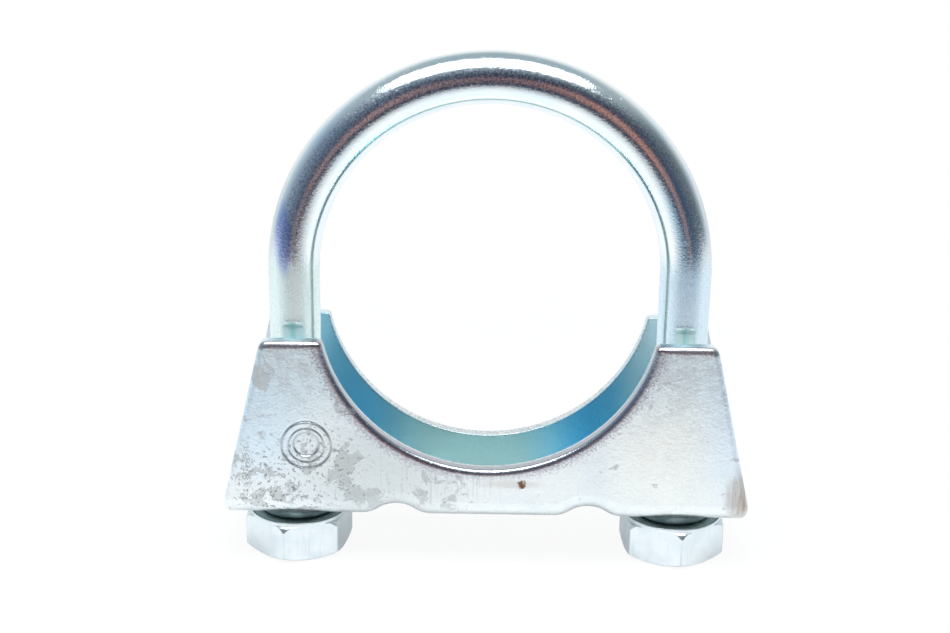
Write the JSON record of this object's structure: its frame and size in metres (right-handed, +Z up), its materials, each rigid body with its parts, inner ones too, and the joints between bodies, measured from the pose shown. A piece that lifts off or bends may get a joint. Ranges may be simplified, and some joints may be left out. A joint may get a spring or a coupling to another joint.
{
  "type": "exhaust clamp",
  "caption": "Bow of round rod with threaded legs, drawn down on a folded saddle by collared hex nuts to clamp an exhaust pipe.",
  "frame": {"origin": "on the surface that the clamp's nuts stand on, midway between the legs", "axes": "+Z up along the legs, towards the bow; +X across the legs; +Y from the front plate to the back plate, along the pipe"},
  "size_m": [0.1036, 0.0218, 0.0999],
  "materials": {
    "rod": "bright zinc plated round bar",
    "saddle": "zinc plated pressed sheet, a little stained",
    "nut": "zinc plated"
  },
  "bodies": {
    "bow": {"u_bolt": "rod"},
    "saddle": {"saddle": "saddle"},
    "nut_left": {"nut_left": "nut"},
    "nut_right": {"nut_right": "nut"}
  },
  "joints": [
    {"name": "saddle_slide", "type": "slide", "parent": "bow", "child": "saddle", "axis": [0, 0, 1], "range_m": [0, 0.02]},
    {"name": "nut_left_turn", "type": "hinge", "parent": "saddle", "child": "nut_left", "pos_m": [-0.0375, 0, 0], "axis": [0, 0, 1], "range_deg": [0, 4801]},
    {"name": "nut_right_turn", "type": "hinge", "parent": "saddle", "child": "nut_right", "pos_m": [0.0375, 0, 0], "axis": [0, 0, 1], "range_deg": [0, 4801]}
  ],
  "couplings": [
    {"joint": "nut_left_turn", "follows": "saddle_slide", "rad_per_m": 4188.8},
    {"joint": "nut_right_turn", "follows": "saddle_slide", "rad_per_m": 4188.8}
  ]
}
